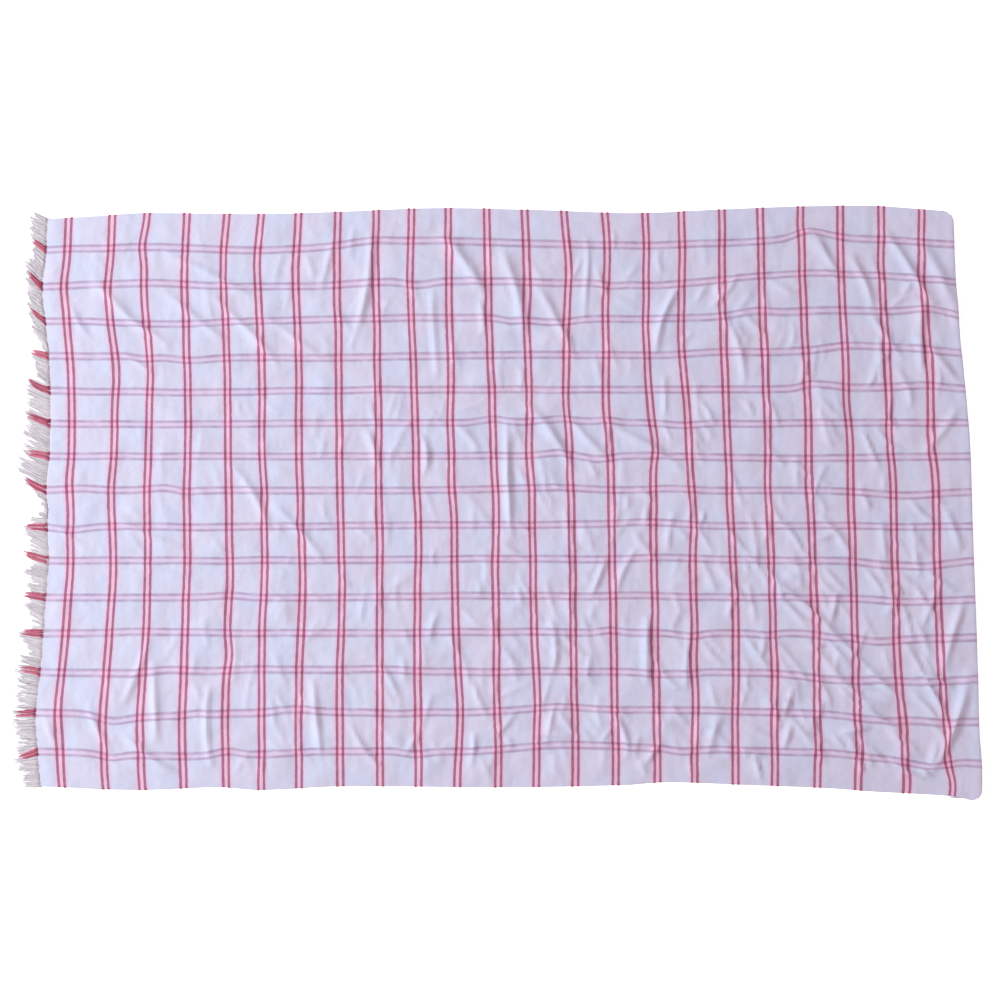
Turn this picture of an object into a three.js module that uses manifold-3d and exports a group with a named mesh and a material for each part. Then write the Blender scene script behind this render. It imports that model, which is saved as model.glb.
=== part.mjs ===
// A flat-woven wool blanket laid out on a floor, its length along X and its width along Y.
// Millimetres, +Z up. While it is worked out, x starts at the fringed end, y at the middle of the
// width, and the floor is z = 0; the finished group is then centred over its own footprint.
import * as THREE from "three";
import { mergeVertices } from "three/addons/utils/BufferGeometryUtils.js";
import Module from "manifold-3d";

// Driving dimensions of the cloth
const LENGTH = 2024; // from the fringed end to the turned end
const WIDTH = 1272; // between the two selvedges
const THICKNESS = 2;
const TURNED_UNDER = 60; // how much of the far end lies beneath the cloth
const CORNER_RADIUS = 24; // the turned end's soft corners
const LIFT_AT_BEND = 4.4; // height of the cloth's underside where it turns
const LIFT_OVER_FLAP = 2.6; // and where it lies over the turned-under part
const BEND_FADE = 24; // length over which the bend settles on the flap
const FLAP_FADE = 80; // length over which the cloth settles on the floor past the flap

// Driving dimensions of the fringe
const GAP = 0.3; // between the cloth's edge and the fringe's strip
const STRIP_WIDTH = 5;
const LOCKS = 126;
const LOCK_WIDTH = 4.2;
const LOCK_HEIGHT = 1.9;
const TIP_SHARE = 0.5; // a lock's tip against its root, in width and height
const ROOT_DEPTH = 3; // how far a lock's root runs into the strip

// Spacing of the mesh's points
const EDGE_STEP = 36;
const OPEN_STEP = 62;
const FOLD_STEP = 38;
const WIDE_FOLD = 33; // folds at least this wide get points half way up their sides too
const CLEAR_OF_EDGE = 12;

function table(columns, rows) {
  return rows.map((row) => Object.fromEntries(columns.map((name, i) => [name, row[i]])));
}

// How far each edge of the cloth stands out (+x or +y) from a straight rectangle.
const FRINGED_EDGE = table(["at", "out"], [
  [-636, -15], [-563, -20], [-475, -25], [-376, -14], [-222, -3], [-134, 4], [-57, 1], [24, -1],
  [97, 6], [218, 8], [312, 4], [394, -3], [471, -10], [548, -3], [636, 1],
]);
const TURNED_EDGE = table(["at", "out"], [
  [-636, 29], [-563, 29], [-497, 24], [-332, 19], [-222, 15], [-68, 9], [97, 4],
  [229, -6], [361, -20], [493, -29], [570, -32], [636, -34],
]);
const UPPER_EDGE = table(["at", "out"], [
  [0, -20], [117, -13], [205, -7], [469, -9], [645, -4], [865, 4], [1085, 0],
  [1305, -7], [1481, 0], [1657, 7], [1833, 9], [1965, 0], [2024, -4],
]);
const LOWER_EDGE = table(["at", "out"], [
  [0, 4], [205, -4], [381, 2], [469, -4], [645, 4], [997, 2], [1261, 7],
  [1349, 13], [1525, 7], [1701, 0], [1789, -7], [1965, -19], [2024, -31],
]);
// How much of the turned edge's slant is felt along the length.
const SLANT_SHARE = table(["at", "out"], [
  [0, 0], [560, 0], [1000, 0.4], [1400, 0.45], [1770, 0.62], [1950, 0.75], [2024, 1],
]);
const FRINGED_REACH = 520; // length over which the fringed edge's waver dies out

// The main folds: soft ridges from one end to the other, over their whole width and height,
// with the middle of the crest bowed to the side.
const FOLDS = table(["x1", "y1", "x2", "y2", "width", "height", "bow"], [
  [260, 545, 475, 440, 35, 3.5, -7],
  [100, 485, 275, 340, 35, 5, 7],
  [250, 465, 400, 345, 35, 4, -4],
  [365, 455, 515, 290, 35, 4.5, -7],
  [475, 410, 625, 300, 30, 3, 0],
  [45, 440, 100, 350, 25, 2.5, 4],
  [155, 330, 240, 275, 25, 2.5, 0],
  [10, -40, 95, -110, 25, 2.5, 4],
  [135, -30, 320, -115, 35, 3.5, 7],
  [185, -130, 340, -195, 35, 2.5, 0],
  [405, 75, 485, -75, 35, 4.5, -9],
  [490, -10, 605, -145, 35, 4, -9],
  [220, -310, 165, -445, 30, 3, -7],
  [235, -360, 240, -535, 35, 5.5, 0],
  [-10, -440, 25, -550, 25, 3, 7],
  [90, -440, 145, -555, 30, 3.5, 7],
  [165, -505, 295, -605, 35, 5.5, 9],
  [360, -405, 365, -590, 30, 5, 11],
  [715, 590, 675, 355, 40, 7, -11],
  [860, 585, 970, 430, 50, 7.5, -11],
  [950, 440, 960, 360, 30, 4, -4],
  [850, 470, 860, 265, 25, 3, 2],
  [635, 580, 605, 455, 25, 2.5, 0],
  [700, 155, 730, 65, 35, 4.5, -4],
  [825, 140, 830, 50, 35, 5, -9],
  [900, 165, 950, 100, 30, 3.5, -7],
  [585, -395, 605, -575, 35, 6.5, 2],
  [665, -485, 735, -590, 30, 4, 9],
  [720, -365, 775, -440, 30, 4, -7],
  [860, -250, 840, -325, 30, 3, 4],
  [785, -560, 820, -515, 25, 2.5, 0],
  [935, -510, 930, -590, 30, 3.5, -4],
  [485, -530, 535, -570, 25, 2.5, 0],
  [995, 555, 1050, 355, 45, 7.5, -9],
  [1065, 475, 1165, 300, 35, 5.5, -9],
  [1180, 585, 1180, 395, 20, 3, 0],
  [1200, 510, 1240, 430, 25, 2.5, 0],
  [1395, 475, 1345, 315, 35, 5.5, 11],
  [1520, 485, 1465, 420, 30, 4, -4],
  [1480, 410, 1535, 250, 35, 5, -15],
  [1015, 170, 1020, -100, 35, 7, 4],
  [1050, 215, 1160, 55, 40, 6, -9],
  [1155, 170, 1245, 90, 35, 4.5, 4],
  [1230, 165, 1400, 65, 35, 4.5, -4],
  [1420, 170, 1450, 110, 20, 2.5, 0],
  [1230, -130, 1195, -220, 30, 4, 0],
  [1300, -110, 1250, -215, 30, 3.5, 7],
  [1320, -255, 1320, -410, 35, 6.5, 0],
  [1105, -260, 1105, -395, 30, 4, -13],
  [1175, -255, 1195, -300, 25, 2.5, 0],
  [1200, -330, 1185, -405, 25, 2.5, 0],
  [1410, -245, 1400, -425, 25, 2.5, 0],
  [1115, -465, 1100, -555, 30, 3.5, 4],
  [1245, -475, 1280, -575, 35, 5.5, -7],
  [1355, -530, 1310, -590, 25, 3, 0],
  [1480, -475, 1465, -560, 35, 4.5, 7],
  [1430, -475, 1430, -555, 20, 2.5, 0],
  [1665, 580, 1745, 470, 35, 4.5, -7],
  [1765, 535, 1820, 395, 35, 5, -7],
  [1815, 395, 1885, 290, 30, 4.5, 4],
  [1835, 595, 1950, 405, 40, 7.5, -9],
  [1925, 565, 2015, 360, 50, 8, -7],
  [1925, 425, 1925, 260, 35, 6, 4],
  [1940, 330, 2010, 250, 35, 5, 4],
  [1580, 225, 1610, 160, 25, 3.5, -4],
  [1670, 305, 1660, 250, 25, 3, 0],
  [1690, 225, 1750, 175, 25, 2.5, 0],
  [2005, 205, 1935, 100, 35, 4, -4],
  [1590, -5, 1635, -80, 25, 2.5, 0],
  [1700, -35, 1770, -125, 30, 3.5, -4],
  [1545, -130, 1890, -440, 30, 4.5, -4],
  [1470, -145, 1540, -235, 25, 3, 0],
  [1525, -295, 1590, -380, 25, 3, 0],
  [1660, -305, 1840, -485, 30, 4.5, -7],
  [1850, -175, 1870, -255, 25, 2.5, 0],
  [1960, -190, 1925, -275, 30, 3, 0],
  [2020, -210, 1970, -365, 35, 5, 4],
  [1915, -355, 1965, -475, 35, 6, -4],
  [2035, -355, 1910, -600, 50, 8, -18],
  [1720, -515, 1760, -560, 20, 2.5, 0],
  [1840, -485, 1895, -560, 30, 3, 0],
  [1490, -55, 1540, -125, 20, 3, 0],
  [1605, -30, 1670, -130, 20, 3.5, -4],
  [1640, -200, 1705, -270, 20, 3, 0],
  [1695, -255, 1780, -340, 20, 3.5, 4],
  [1595, -300, 1655, -380, 20, 2.5, 0],
  [1770, -330, 1870, -425, 30, 4.5, -4],
  [1780, -435, 1870, -500, 30, 4.5, 0],
  [1885, -300, 1960, -450, 25, 4, -4],
  [1895, -405, 1955, -480, 25, 3.5, 0],
  [1750, -510, 1805, -580, 20, 3, 0],
  [1795, -525, 1845, -585, 20, 3, 0],
  [1435, -310, 1485, -370, 20, 3, 0],
  [1470, -475, 1455, -565, 30, 4, 4],
  [1635, -490, 1620, -550, 25, 3, 0],
  [1945, -515, 1925, -575, 30, 4, 0],
  [1700, -145, 1760, -205, 20, 3, 0],
  [1800, -145, 1840, -205, 20, 3, 0],
  [1535, -110, 1595, -200, 20, 3, 0],
  [1835, -45, 1845, -135, 30, 3, 0],
  [1900, -45, 1920, -135, 25, 3, 0],
  [1975, -15, 2010, -110, 30, 3, 0],
  [1735, -390, 1780, -450, 20, 2.5, 0],
  [1435, -135, 1470, -200, 20, 2.5, 0],
]);

// The fringe along the edge: how far out from it the locks reach, and how they lean in degrees.
const FRINGE = table(["at", "reach", "lean"], [
  [-636, 33, -10], [-596, 42, 2], [-563, 46, -10], [-530, 42, 3], [-477, 47, -3], [-442, 43, 8],
  [-381, 50, 12], [-359, 42, 15], [-343, 31, 20], [-321, 44, 17], [-293, 48, 5], [-284, 14, 20],
  [-272, 36, 26], [-222, 35, 20], [-196, 40, 15], [-172, 46, 18], [-152, 36, 15], [-125, 41, 22],
  [-97, 44, 28], [-62, 46, 5], [-42, 31, 8], [-29, 10, 20], [-15, 12, 30], [-2, 27, 33],
  [20, 48, 28], [53, 59, 24], [97, 53, 25], [136, 50, 30], [185, 48, 25], [218, 48, 24],
  [244, 46, 20], [257, 32, 33], [279, 31, 36], [315, 36, 15], [328, 13, 38], [339, 24, 42],
  [361, 33, 42], [398, 33, 39], [460, 33, 42], [499, 32, 45], [521, 22, 45], [548, 26, 40],
  [579, 33, 35], [636, 33, 28],
]);

const HALF = WIDTH / 2;
const { smoothstep, clamp, lerp, degToRad } = THREE.MathUtils;

// A smooth curve through a table's rows.
function read(rows, at, column = "out") {
  const last = rows.length - 1;
  const where = clamp(at, rows[0].at, rows[last].at);
  let i = 0;
  while (i < last - 1 && where > rows[i + 1].at) i += 1;
  const a = rows[i];
  const b = rows[i + 1];
  const before = rows[Math.max(i - 1, 0)];
  const after = rows[Math.min(i + 2, last)];
  const span = b.at - a.at;
  const slopeA = ((b[column] - before[column]) / (b.at - before.at)) * span;
  const slopeB = ((after[column] - a[column]) / (after.at - a.at)) * span;
  const u = (where - a.at) / span;
  const v = 1 - u;
  return (
    a[column] * v * v * (1 + 2 * u) +
    b[column] * u * u * (3 - 2 * u) +
    slopeA * u * v * v -
    slopeB * u * u * v
  );
}

// Where a point of the flat cloth, s along and t across, lies on the floor.
function lay(s, t) {
  const a = (s - LENGTH + CORNER_RADIUS) / CORNER_RADIUS;
  const b = (Math.abs(t) - HALF + CORNER_RADIUS) / CORNER_RADIUS;
  let along = s;
  let across = t;
  if (a > 0 && b > 0) {
    along += CORNER_RADIUS * a * (Math.sqrt(1 - (b * b) / 2) - 1);
    across += Math.sign(t) * CORNER_RADIUS * b * (Math.sqrt(1 - (a * a) / 2) - 1);
  }
  const edge = across > 0 ? UPPER_EDGE : LOWER_EDGE;
  return {
    x:
      along +
      read(FRINGED_EDGE, across) * (1 - smoothstep(along, 0, FRINGED_REACH)) +
      read(TURNED_EDGE, across) * read(SLANT_SHARE, along),
    y: across + read(edge, along) * Math.abs(across / HALF) ** 3,
  };
}

// The flat cloth's point that lies at x, y, found by correcting a first guess.
function unlay(x, y) {
  let s = x;
  let t = y;
  for (let round = 0; round < 6; round += 1) {
    const here = lay(clamp(s, 0, LENGTH), clamp(t, -HALF, HALF));
    s += x - here.x;
    t += y - here.y;
  }
  return [s, t];
}

// A point beside a fold: share 0 to 1 along its crest, side -1 to 1 across its width.
function besideFold(fold, share, side) {
  const length = Math.hypot(fold.x2 - fold.x1, fold.y2 - fold.y1);
  const off = fold.bow * 4 * share * (1 - share) + (side * fold.width) / 2;
  return [
    lerp(fold.x1, fold.x2, share) + (off * (fold.y2 - fold.y1)) / length,
    lerp(fold.y1, fold.y2, share) - (off * (fold.x2 - fold.x1)) / length,
  ];
}

// The height of the underside at x, y: the highest fold there, as a cosine ridge with fading ends.
function foldHeight(x, y) {
  let height = 0;
  for (const fold of FOLDS) {
    const dx = fold.x2 - fold.x1;
    const dy = fold.y2 - fold.y1;
    const length = Math.hypot(dx, dy);
    const share = ((x - fold.x1) * dx + (y - fold.y1) * dy) / (length * length);
    if (share <= 0 || share >= 1) continue;
    const off = ((x - fold.x1) * dy - (y - fold.y1) * dx) / length - fold.bow * 4 * share * (1 - share);
    const side = off / (fold.width / 2);
    if (Math.abs(side) >= 1) continue;
    const ends = Math.sqrt(Math.sin(Math.PI * share));
    height = Math.max(height, fold.height * ends * 0.5 * (1 + Math.cos(Math.PI * side)));
  }
  return height;
}

// The lift that the turned-under part gives the cloth above it.
function turnLift(s) {
  const back = LENGTH - s;
  const bend = (LIFT_AT_BEND - LIFT_OVER_FLAP) * (1 - smoothstep(back, 0, BEND_FADE));
  const flap = LIFT_OVER_FLAP * (1 - smoothstep(back, TURNED_UNDER, TURNED_UNDER + FLAP_FADE));
  return bend + flap;
}

// Points of the flat cloth: corners and edges, then folds, then the open ground between them.
function clothPoints() {
  const points = [];
  for (const side of [-HALF, HALF]) {
    points.push([0, side], [LENGTH, side]);
  }
  for (const side of [-1, 1]) {
    for (const back of [0.45, 1]) {
      points.push([LENGTH - back * CORNER_RADIUS, side * HALF]);
      points.push([LENGTH, side * (HALF - back * CORNER_RADIUS)]);
    }
  }
  const alongSteps = Math.round(LENGTH / (EDGE_STEP * 1.4));
  for (let i = 1; i < alongSteps; i += 1) {
    const s = ((LENGTH - CORNER_RADIUS) * i) / alongSteps;
    points.push([s, -HALF], [s, HALF]);
  }
  const acrossSteps = Math.round(WIDTH / EDGE_STEP);
  for (let i = 1; i < acrossSteps; i += 1) {
    const share = i / acrossSteps;
    points.push([0, lerp(-HALF, HALF, share)]);
    points.push([LENGTH, lerp(CORNER_RADIUS - HALF, HALF - CORNER_RADIUS, share)]);
  }
  const add = (s, t, room) => {
    const edge = Math.min(s, LENGTH - s, HALF - Math.abs(t));
    if (edge < CLEAR_OF_EDGE) return;
    if (points.some(([p, q]) => Math.hypot(p - s, q - t) < room)) return;
    points.push([s, t]);
  };
  const stationsOf = (fold) => {
    const length = Math.hypot(fold.x2 - fold.x1, fold.y2 - fold.y1);
    return Math.max(3, Math.round(length / FOLD_STEP));
  };
  for (const side of [0, -0.5, 0.5, -1, 1]) {
    for (const fold of FOLDS) {
      if (Math.abs(side) === 0.5 && fold.width < WIDE_FOLD) continue;
      const stations = stationsOf(fold);
      const ends = side === 0 ? 0 : 1;
      for (let i = ends; i <= stations - ends; i += 1) {
        const [x, y] = besideFold(fold, i / stations, side);
        add(...unlay(x, y), fold.width * 0.22);
      }
    }
  }
  const rows = Math.round(WIDTH / (OPEN_STEP * 0.87));
  for (let j = 1; j < rows; j += 1) {
    const t = -HALF + (WIDTH * j) / rows;
    for (let s = OPEN_STEP * (j % 2 ? 0.5 : 1); s < LENGTH; s += OPEN_STEP) {
      add(s + 4 * Math.sin(3 * j + s), t + 4 * Math.cos(5 * j + s), OPEN_STEP * 0.55);
    }
  }
  return points;
}

// Joins points into triangles whose circumscribed circles hold no other point.
function triangulate(points) {
  const far = 60 * LENGTH;
  const all = [...points, [-far, -far], [far, -far], [0, far]];
  const n = points.length;
  const circled = (a, b, c) => {
    const [ax, ay] = all[a];
    const bx = all[b][0] - ax;
    const by = all[b][1] - ay;
    const cx = all[c][0] - ax;
    const cy = all[c][1] - ay;
    const d = 2 * (bx * cy - by * cx);
    const ux = (cy * (bx * bx + by * by) - by * (cx * cx + cy * cy)) / d;
    const uy = (bx * (cx * cx + cy * cy) - cx * (bx * bx + by * by)) / d;
    return { corners: [a, b, c], x: ax + ux, y: ay + uy, r2: ux * ux + uy * uy };
  };
  let triangles = [circled(n, n + 1, n + 2)];
  points.forEach(([px, py], p) => {
    const rim = new Map();
    const kept = [];
    for (const triangle of triangles) {
      const inside = (px - triangle.x) ** 2 + (py - triangle.y) ** 2 < triangle.r2 * (1 - 1e-9);
      if (!inside) {
        kept.push(triangle);
        continue;
      }
      const [a, b, c] = triangle.corners;
      for (const [from, to] of [[a, b], [b, c], [c, a]]) {
        if (!rim.delete(`${to} ${from}`)) rim.set(`${from} ${to}`, [from, to]);
      }
    }
    for (const [from, to] of rim.values()) kept.push(circled(from, to, p));
    triangles = kept;
  });
  return triangles.map((triangle) => triangle.corners).filter((corners) => corners.every((c) => c < n));
}

// The whole sheet as its upper and its lower points and the triangles between them: the cloth that
// shows, then its bend, a half circle, and the flap beneath, both in rows that follow the bend.
function layCloth() {
  const flat = clothPoints();
  const triangles = triangulate(flat);
  const upper = [];
  const lower = [];
  for (const [s, t] of flat) {
    const { x, y } = lay(s, t);
    const z = foldHeight(x, y) * smoothstep(Math.min(s, HALF - Math.abs(t)), 0, 40) + turnLift(s);
    upper.push([x, y, z + THICKNESS]);
    lower.push([x, y, z]);
  }
  const bendLine = flat
    .map(([s, t], index) => ({ s, t, index }))
    .filter((point) => point.s === LENGTH)
    .sort((p, q) => p.t - q.t)
    .map((point) => point.index);
  let row = bendLine;
  const addRow = (place) => {
    const next = bendLine.map((start) => {
      const [x, y, z] = lower[start];
      const [out, up] = place(x, y, z);
      upper.push(out);
      lower.push(up);
      return upper.length - 1;
    });
    for (let i = 0; i + 1 < row.length; i += 1) {
      triangles.push([row[i], next[i], next[i + 1]], [row[i], next[i + 1], row[i + 1]]);
    }
    row = next;
  };
  const half = THICKNESS / 2;
  for (const angle of [45, 90, 135, 180]) {
    const sin = Math.sin(degToRad(angle));
    const cos = Math.cos(degToRad(angle));
    addRow((x, y, z) => {
      const radius = z / 2;
      const middle = half + radius;
      const outer = radius + half;
      const inner = radius - half;
      return [
        [x + outer * sin, y, middle + outer * cos],
        [x + inner * sin, y, middle + inner * cos],
      ];
    });
  }
  for (const under of [TURNED_UNDER / 2, TURNED_UNDER]) {
    addRow((x, y) => [
      [x - under, y, 0],
      [x - under, y, THICKNESS],
    ]);
  }
  return { upper, lower, triangles };
}

function meshGeometry(points, faces) {
  const geometry = new THREE.BufferGeometry();
  geometry.setAttribute("position", new THREE.Float32BufferAttribute(points.flat(), 3));
  geometry.setIndex(faces.flat());
  return geometry;
}

// Closes a sheet with a rim wall along every edge that only one triangle has.
function closedSheet({ upper, lower, triangles }) {
  const n = upper.length;
  const faces = [];
  const loose = new Map();
  for (const [a, b, c] of triangles) {
    faces.push([a, b, c], [n + a, n + c, n + b]);
    for (const [from, to] of [[a, b], [b, c], [c, a]]) {
      if (!loose.delete(`${to} ${from}`)) loose.set(`${from} ${to}`, [from, to]);
    }
  }
  for (const [from, to] of loose.values()) {
    faces.push([from, n + from, n + to], [from, n + to, to]);
  }
  return meshGeometry([...upper, ...lower], faces);
}

// A bar through cross-sections that all have the same number of corners.
function bar(sections) {
  const sides = sections[0].length;
  const last = (sections.length - 1) * sides;
  const faces = [];
  for (let i = 0; i + 1 < sections.length; i += 1) {
    for (let k = 0; k < sides; k += 1) {
      const a = i * sides + k;
      const b = i * sides + ((k + 1) % sides);
      faces.push([a, b + sides, b], [a, a + sides, b + sides]);
    }
  }
  for (let k = 1; k + 1 < sides; k += 1) {
    faces.push([0, k, k + 1], [last, last + k + 1, last + k]);
  }
  return meshGeometry(sections.flat(), faces);
}

// The strip that holds the fringe, parted from the cloth's edge by the gap.
function fringeStrip() {
  const steps = Math.round(WIDTH / EDGE_STEP);
  return bar(
    Array.from({ length: steps + 1 }, (_, i) => {
      const { x, y } = lay(0, -HALF + (WIDTH * i) / steps);
      const inner = x - GAP;
      const outer = inner - STRIP_WIDTH;
      return [
        [inner, y, 0],
        [inner, y, THICKNESS],
        [outer, y, THICKNESS],
        [outer, y, 0],
      ];
    }),
  );
}

// One lock of yarn, three-sided, its flat side on the floor, tapering along a slight curl.
function fringeLock(index) {
  const t = HALF * (((index + 0.5) / LOCKS) * 2 - 1);
  const root = lay(0, t);
  const vary = Math.sin(index * 2.4);
  const reach = read(FRINGE, t, "reach") * (1 + 0.1 * vary);
  const lean = degToRad(read(FRINGE, t, "lean") + 2.5 * Math.cos(index * 1.7));
  const curl = degToRad(7 * Math.sin(index * 0.9));
  const length = (reach - STRIP_WIDTH + ROOT_DEPTH) / Math.cos(lean);
  const start = [root.x - GAP - STRIP_WIDTH + ROOT_DEPTH, root.y];
  const sections = [0, 0.34, 0.67, 1].map((share) => {
    const turn = lean + curl * (share - 0.5);
    const away = length * share;
    const size = lerp(1, TIP_SHARE, share);
    const side = (size * LOCK_WIDTH) / 2;
    const x = start[0] - away * Math.cos(turn);
    const y = start[1] + away * Math.sin(turn);
    return [
      [x + side * Math.sin(turn), y + side * Math.cos(turn), 0],
      [x, y, size * LOCK_HEIGHT],
      [x - side * Math.sin(turn), y - side * Math.cos(turn), 0],
    ];
  });
  return bar(sections);
}

const wasm = await Module();
wasm.setup();

function solid(geometry) {
  const merged = mergeVertices(geometry, 1e-3);
  return new wasm.Manifold(
    new wasm.Mesh({
      numProp: 3,
      vertProperties: merged.attributes.position.array,
      triVerts: new Uint32Array(merged.index.array),
    }),
  );
}

function joined(geometries) {
  const whole = geometries.map(solid).reduce((sum, piece) => sum.add(piece));
  const { vertProperties, triVerts } = whole.getMesh();
  const geometry = new THREE.BufferGeometry();
  geometry.setAttribute("position", new THREE.Float32BufferAttribute(vertProperties, 3));
  geometry.setIndex(new THREE.BufferAttribute(triVerts, 1));
  return geometry;
}

function piece(name, geometry, color) {
  geometry.computeVertexNormals();
  const material = new THREE.MeshStandardMaterial({ color, roughness: 0.95, metalness: 0 });
  const mesh = new THREE.Mesh(geometry, material);
  mesh.name = name;
  return mesh;
}

const locks = Array.from({ length: LOCKS }, (_, index) => fringeLock(index));
const blanket = new THREE.Group();
blanket.add(piece("cloth", closedSheet(layCloth()), 0xd4d1e0));
blanket.add(piece("fringe", joined([fringeStrip(), ...locks]), 0xcfc8cc));

// Centres the blanket over its footprint, its underside on z = 0.
const box = new THREE.Box3().setFromObject(blanket);
const middle = box.getCenter(new THREE.Vector3());
for (const mesh of blanket.children) {
  mesh.position.set(-middle.x, -middle.y, -box.min.z);
}

export default blanket;
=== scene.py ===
"""A fringed wool blanket laid out on a white floor, seen from straight above.

Shapes are worked out in millimetres, with x from the fringed end and y from the middle of the
width, and are then moved onto the CAD frame.
"""

import math

import bpy
import numpy as np
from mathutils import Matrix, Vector


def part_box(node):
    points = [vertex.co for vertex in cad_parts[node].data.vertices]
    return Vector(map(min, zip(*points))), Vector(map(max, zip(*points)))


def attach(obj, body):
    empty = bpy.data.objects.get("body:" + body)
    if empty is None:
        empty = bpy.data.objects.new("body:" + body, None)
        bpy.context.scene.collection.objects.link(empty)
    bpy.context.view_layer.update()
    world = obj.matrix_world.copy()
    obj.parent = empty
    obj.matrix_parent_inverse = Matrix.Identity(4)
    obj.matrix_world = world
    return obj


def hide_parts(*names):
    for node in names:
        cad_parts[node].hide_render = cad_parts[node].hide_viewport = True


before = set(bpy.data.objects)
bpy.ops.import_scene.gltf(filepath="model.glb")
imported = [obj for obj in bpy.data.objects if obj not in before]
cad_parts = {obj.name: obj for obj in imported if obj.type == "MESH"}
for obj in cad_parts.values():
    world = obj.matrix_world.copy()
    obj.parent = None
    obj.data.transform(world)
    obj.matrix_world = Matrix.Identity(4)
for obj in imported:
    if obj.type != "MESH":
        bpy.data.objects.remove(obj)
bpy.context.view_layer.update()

# The cloth
LENGTH = 2024.0
WIDTH = 1272.0
HALF = WIDTH / 2
THICKNESS = 2.0
EDGE_THICKNESS = 1.2
EDGE_BEVEL = 9  # how far in from an open edge the cloth gets its full thickness
TURNED_UNDER = 60.0
CORNER_RADIUS = 24.0
LIFT_AT_BEND = 4.4  # height of the underside where the cloth turns under
LIFT_OVER_FLAP = 2.6  # and where the cloth lies on its turned-under part
BEND_FADE = 24.0
FLAP_FADE = 80.0
FRINGED_REACH = 520.0  # how far in from the fringed end its uneven edge is felt
PUFF = 0.5  # how far the open squares stand up
WAVE_LEVEL = 0.7  # mean height of the low waves, which are cut off at the floor
WAVE_SPREAD = 0.6
RIPPLE_WAVES = 26  # sine waves in a ripple
SETTLED_WIDTH = 40  # the cloth lies flat along its open edges, over this width
PRESSED_WIDTH = 30  # and is pressed down beside the bend
PRESSED_SHARE = 0.6
COLUMNS = 336  # cells of the mesh along the length that shows
BEND_STEPS = 8
FLAP_STEPS = 8
ROWS = 214  # cells across the width
RIM_CELL = 1.5  # width of the cells along the open edges

# How far each edge stands out from a straight rectangle: (place along the edge, millimetres).
FRINGED_EDGE = [
    (-636, -15), (-563, -20), (-475, -25), (-376, -14), (-222, -3), (-134, 4), (-57, 1), (24, -1),
    (97, 6), (218, 8), (312, 4), (394, -3), (471, -10), (548, -3), (636, 1),
]
TURNED_EDGE = [
    (-636, 29), (-563, 29), (-497, 24), (-332, 19), (-222, 15), (-68, 9), (97, 4),
    (229, -6), (361, -20), (493, -29), (570, -32), (636, -34),
]
UPPER_EDGE = [
    (0, -20), (117, -13), (205, -7), (469, -9), (645, -4), (865, 4), (1085, 0), (1305, -7),
    (1481, 0), (1657, 7), (1833, 9), (1965, 0), (2024, -4),
]
LOWER_EDGE = [
    (0, 4), (205, -4), (381, 2), (469, -4), (645, 4), (997, 2), (1261, 7), (1349, 13),
    (1525, 7), (1701, 0), (1789, -7), (1965, -19), (2024, -31),
]
# How much of the turned edge's slant is felt along the length.
SLANT_SHARE = [(0, 0), (560, 0), (1000, 0.4), (1400, 0.45), (1770, 0.62), (1950, 0.75), (2024, 1)]

# Where the stripes run: crimson pairs by their place along the length, faint pairs by theirs
# across the width.
WEFT = [
    47, 143, 220, 307, 397, 473, 554, 643, 729, 810, 893, 981,
    1064, 1150, 1238, 1330, 1411, 1500, 1586, 1677, 1765, 1857, 1949,
]
WARP = [-558, -471, -382, -296, -217, -135, -59, 19, 94, 167, 241, 317, 397, 477, 562]
THREAD_PAIR = 0.032  # two neighbouring threads of the weave, in the flat map's units of 100 mm
WEFT_SPACING = 87.0
WARP_SPACING = 80.0
WEFT_APART = 6.2  # each line of a crimson pair from the pair's middle
WARP_APART = 6.5
WEFT_LINE = (5.6, 0.9)  # a crimson line's width, and half the width over which its edge fades
WARP_LINE = (5.6, 2.0)

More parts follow.
